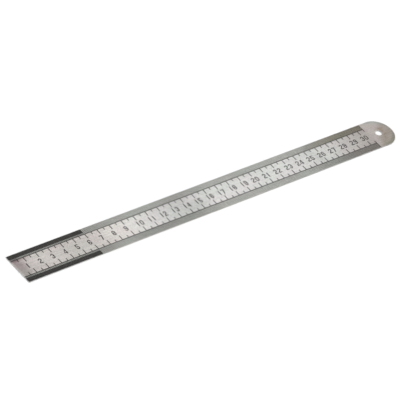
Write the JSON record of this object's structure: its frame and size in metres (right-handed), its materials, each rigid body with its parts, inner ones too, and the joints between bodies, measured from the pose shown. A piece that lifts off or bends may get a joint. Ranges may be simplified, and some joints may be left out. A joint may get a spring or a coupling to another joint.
{
  "type": "steel ruler",
  "caption": "Flat brushed steel ruler, square at the zero end and round with a hanging hole at the other, with painted millimetre scales on both long edges.",
  "frame": {"origin": "middle of the back face, halfway between the zero end and the round end", "axes": "+X along the blade from the square zero end to the round end, +Y to the upper long edge as the numerals are read, +Z out of the graduated face"},
  "size_m": [0.325, 0.025, 0.0008],
  "materials": {
    "brushed_steel": "rolled spring steel with a fine lengthwise brushed grain",
    "black_paint": "thin matt black paint that fills the etched marks"
  },
  "bodies": {
    "root": {"blade": "brushed_steel", "upper_scale_paint": "black_paint", "lower_scale_paint": "black_paint", "numeral_1": "black_paint", "numeral_2": "black_paint", "numeral_3": "black_paint", "numeral_4": "black_paint", "numeral_5": "black_paint", "numeral_6": "black_paint", "numeral_7": "black_paint", "numeral_8": "black_paint", "numeral_9": "black_paint", "numeral_10_tens": "black_paint", "numeral_10_units": "black_paint", "numeral_11_tens": "black_paint", "numeral_11_units": "black_paint", "numeral_12_tens": "black_paint", "numeral_12_units": "black_paint", "numeral_13_tens": "black_paint", "numeral_13_units": "black_paint", "numeral_14_tens": "black_paint", "numeral_14_units": "black_paint", "numeral_15_tens": "black_paint", "numeral_15_units": "black_paint", "numeral_16_tens": "black_paint", "numeral_16_units": "black_paint", "numeral_17_tens": "black_paint", "numeral_17_units": "black_paint", "numeral_18_tens": "black_paint", "numeral_18_units": "black_paint", "numeral_19_tens": "black_paint", "numeral_19_units": "black_paint", "numeral_20_tens": "black_paint", "numeral_20_units": "black_paint", "numeral_21_tens": "black_paint", "numeral_21_units": "black_paint", "numeral_22_tens": "black_paint", "numeral_22_units": "black_paint", "numeral_23_tens": "black_paint", "numeral_23_units": "black_paint", "numeral_24_tens": "black_paint", "numeral_24_units": "black_paint", "numeral_25_tens": "black_paint", "numeral_25_units": "black_paint", "numeral_26_tens": "black_paint", "numeral_26_units": "black_paint", "numeral_27_tens": "black_paint", "numeral_27_units": "black_paint", "numeral_28_tens": "black_paint", "numeral_28_units": "black_paint", "numeral_29_tens": "black_paint", "numeral_29_units": "black_paint", "numeral_30_tens": "black_paint", "numeral_30_units": "black_paint"}
  },
  "joints": []
}
